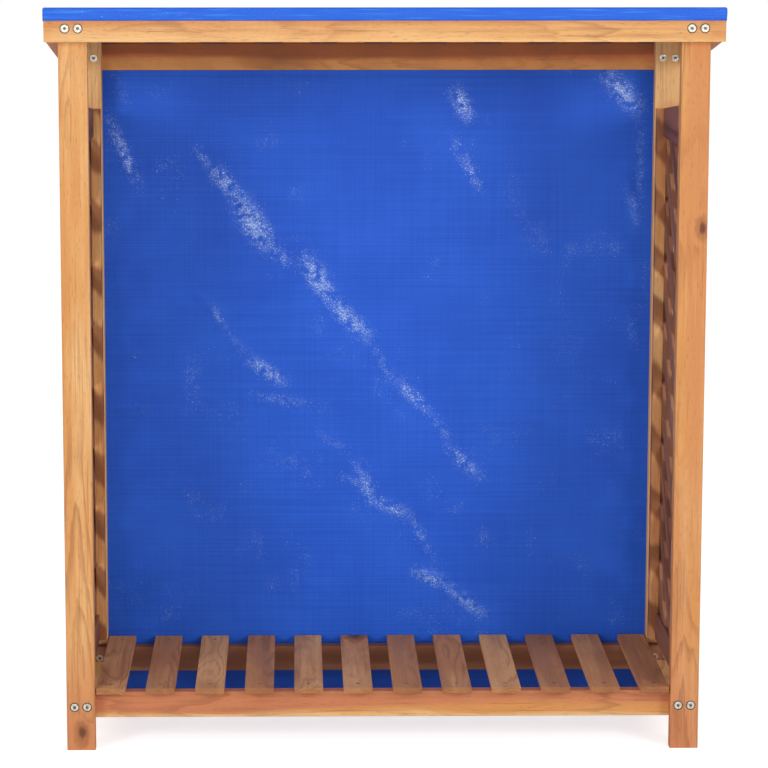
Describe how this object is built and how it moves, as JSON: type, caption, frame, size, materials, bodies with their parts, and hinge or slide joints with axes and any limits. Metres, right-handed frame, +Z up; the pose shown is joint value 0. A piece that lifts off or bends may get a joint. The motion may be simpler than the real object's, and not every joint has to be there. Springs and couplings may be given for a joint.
{
  "type": "log store",
  "caption": "Free-standing wooden log store with a slatted shelf, diagonal lattice sides, a slatted roof that falls to the back and a blue cover over the roof and back.",
  "frame": {"origin": "on the ground, in the middle of the overall width and depth", "axes": "+X to the right as the open front is faced, +Y from the open front to the covered back, +Z up"},
  "size_m": [1.05, 0.38, 1.18],
  "materials": {
    "frame_wood": "oiled",
    "slat_wood": "oiled",
    "lattice_wood": "oiled",
    "dowel_wood": "bare",
    "cover_sheet": "woven plastic sheet, slightly glossy",
    "zinc_steel": "zinc plated",
    "tack_steel": "zinc plated"
  },
  "bodies": {
    "root": {"bottom_front_bolts": "zinc_steel", "bottom_front_rail": "frame_wood", "bottom_rear_bolts": "zinc_steel", "bottom_rear_rail": "frame_wood", "bottom_side_rail_left": "frame_wood", "bottom_side_rail_right": "frame_wood", "cover_tacks": "tack_steel", "dowels": "dowel_wood", "front_post_left": "frame_wood", "front_post_right": "frame_wood", "lattice_bottom_rail_left": "lattice_wood", "lattice_bottom_rail_right": "lattice_wood", "lattice_front_stile_left": "lattice_wood", "lattice_front_stile_right": "lattice_wood", "lattice_inner_slats_left": "lattice_wood", "lattice_inner_slats_right": "lattice_wood", "lattice_outer_slats_left": "lattice_wood", "lattice_outer_slats_right": "lattice_wood", "lattice_rear_stile_left": "lattice_wood", "lattice_rear_stile_right": "lattice_wood", "lattice_top_rail_left": "lattice_wood", "lattice_top_rail_right": "lattice_wood", "rain_cover_back": "cover_sheet", "rain_cover_top": "cover_sheet", "rear_post_left": "frame_wood", "rear_post_right": "frame_wood", "roof_screws": "zinc_steel", "roof_side_rail_left": "frame_wood", "roof_side_rail_right": "frame_wood", "roof_slat_01": "slat_wood", "roof_slat_02": "slat_wood", "roof_slat_03": "slat_wood", "roof_slat_04": "slat_wood", "roof_slat_05": "slat_wood", "roof_slat_06": "slat_wood", "roof_slat_07": "slat_wood", "roof_slat_08": "slat_wood", "roof_slat_09": "slat_wood", "roof_slat_10": "slat_wood", "roof_slat_11": "slat_wood", "roof_slat_12": "slat_wood", "shelf_screws": "zinc_steel", "shelf_slat_01": "slat_wood", "shelf_slat_02": "slat_wood", "shelf_slat_03": "slat_wood", "shelf_slat_04": "slat_wood", "shelf_slat_05": "slat_wood", "shelf_slat_06": "slat_wood", "shelf_slat_07": "slat_wood", "shelf_slat_08": "slat_wood", "shelf_slat_09": "slat_wood", "shelf_slat_10": "slat_wood", "shelf_slat_11": "slat_wood", "shelf_slat_12": "slat_wood", "sleeve_nuts": "zinc_steel", "top_front_bolts": "zinc_steel", "top_front_rail": "frame_wood", "top_rear_bolts": "zinc_steel", "top_rear_rail": "frame_wood"}
  },
  "joints": []
}
